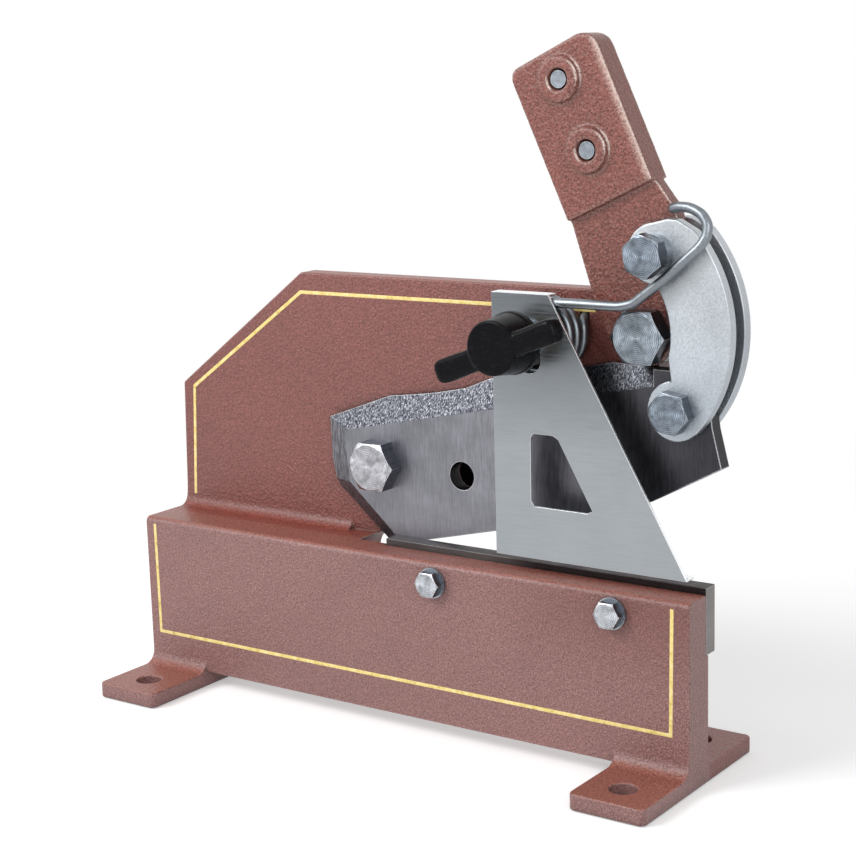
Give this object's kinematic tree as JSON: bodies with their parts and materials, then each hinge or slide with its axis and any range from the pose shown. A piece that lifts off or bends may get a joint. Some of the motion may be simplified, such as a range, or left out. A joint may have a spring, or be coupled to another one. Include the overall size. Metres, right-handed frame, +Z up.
{
  "type": "bench lever shear",
  "caption": "Bench lever shear with a cast base, fixed lower blade, swinging upper blade, curved lever links, sheet guard with wing knob and a hook spring.",
  "frame": {"origin": "middle of the four foot holes, at the underside of the feet", "axes": "+X along the blades towards the lever end, +Y from the operator's side to the back, +Z up"},
  "size_m": [0.3404, 0.107, 0.3396],
  "materials": {
    "frame_paint": "hammered reddish-brown paint",
    "lever_paint": "hammered reddish-brown paint",
    "blade_steel": "machined tool steel",
    "lower_blade_steel": "dark machined tool steel",
    "bolt_zinc": "bright bluish zinc",
    "link_steel": "satin zinc",
    "guard_zinc": "satin zinc sheet",
    "sleeve_steel": "plain steel",
    "spring_steel": "drawn zinc-plated wire",
    "bush_bronze": "plain bearing bronze",
    "knob_plastic": "black satin plastic"
  },
  "bodies": {
    "stand": {"frame_casting": "frame_paint", "lower_blade": "lower_blade_steel", "lower_blade_bolts": "bolt_zinc", "lower_blade_washers": "bolt_zinc", "blade_pivot_bolt": "bolt_zinc", "blade_pivot_washer": "bolt_zinc", "blade_pivot_nut": "bolt_zinc", "lever_pivot_bolt": "bolt_zinc", "lever_pivot_washer": "bolt_zinc", "lever_pivot_nut": "bolt_zinc", "hold_down_stud": "bolt_zinc", "stud_washer": "bolt_zinc", "stud_nut": "bolt_zinc", "spring_sleeve": "sleeve_steel", "hook_spring": "spring_steel"},
    "blade": {"upper_blade": "blade_steel", "blade_pivot_bush": "bush_bronze"},
    "lever": {"lever": "lever_paint", "lever_pivot_bush": "bush_bronze", "lever_link_bush": "bush_bronze", "handle_clamp_bolts": "bolt_zinc"},
    "links": {"front_link": "link_steel", "rear_link": "link_steel", "link_top_bolt": "bolt_zinc", "link_top_collar": "bolt_zinc", "link_top_nut": "bolt_zinc", "link_bottom_bolt": "bolt_zinc", "link_bottom_nut": "bolt_zinc"},
    "guard": {"guard_plate": "guard_zinc"},
    "knob": {"wing_knob": "knob_plastic", "knob_insert": "bush_bronze", "guard_washer": "bolt_zinc"}
  },
  "joints": [
    {"name": "lever_pivot", "type": "hinge", "parent": "stand", "child": "lever", "pos_m": [0.1301, 0.0181, 0.2046], "axis": [0, 1, 0], "range_deg": [0, 90], "deforming": ["hook_spring"]},
    {"name": "blade_pivot", "type": "hinge", "parent": "stand", "child": "blade", "pos_m": [-0.023, 0.0181, 0.129], "axis": [0, 1, 0], "range_deg": [0, 14.72]},
    {"name": "link_pivot", "type": "hinge", "parent": "lever", "child": "links", "pos_m": [0.1379, 0.0181, 0.2425], "axis": [0, 1, 0], "range_deg": [-68.85, 0]},
    {"name": "guard_slide", "type": "slide", "parent": "stand", "child": "guard", "axis": [0, 0, 1], "range_m": [0, 0.01]},
    {"name": "knob_turn", "type": "hinge", "parent": "stand", "child": "knob", "pos_m": [0.078, -0.019, 0.2023], "axis": [0, 1, 0], "continuous": true}
  ],
  "couplings": [
    {"joint": "blade_pivot", "follows": "lever_pivot", "ratio": 0.16356},
    {"joint": "link_pivot", "follows": "lever_pivot", "ratio": -0.765}
  ]
}
